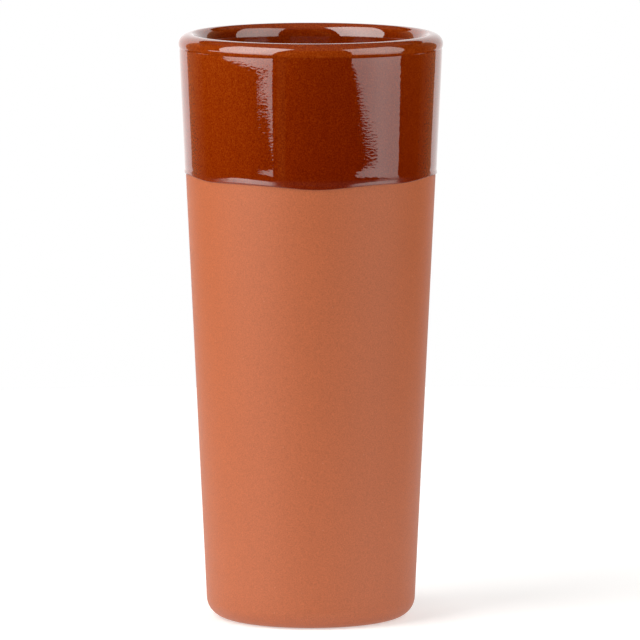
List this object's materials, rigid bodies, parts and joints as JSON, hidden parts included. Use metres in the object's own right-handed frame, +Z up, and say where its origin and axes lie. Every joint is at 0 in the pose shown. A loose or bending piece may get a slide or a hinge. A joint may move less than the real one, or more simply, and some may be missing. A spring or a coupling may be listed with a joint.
{
  "type": "tall terracotta pot",
  "caption": "Tall tapered terracotta pot, bare clay below, with a glossy reddish-brown glaze band dipped over its rounded rim and a glazed inside.",
  "frame": {"origin": "centre of the foot, in the plane that the pot stands on", "axes": "+Z up along the pot's axis, from the foot to the rim; the glaze's lowest run faces -Y"},
  "size_m": [0.1124, 0.1124, 0.25],
  "materials": {
    "fired_clay": "matte",
    "brown_glaze": "gloss"
  },
  "bodies": {
    "root": {"clay_body": "fired_clay", "dipped_glaze_band": "brown_glaze", "poured_glaze_lining": "brown_glaze"}
  },
  "joints": []
}
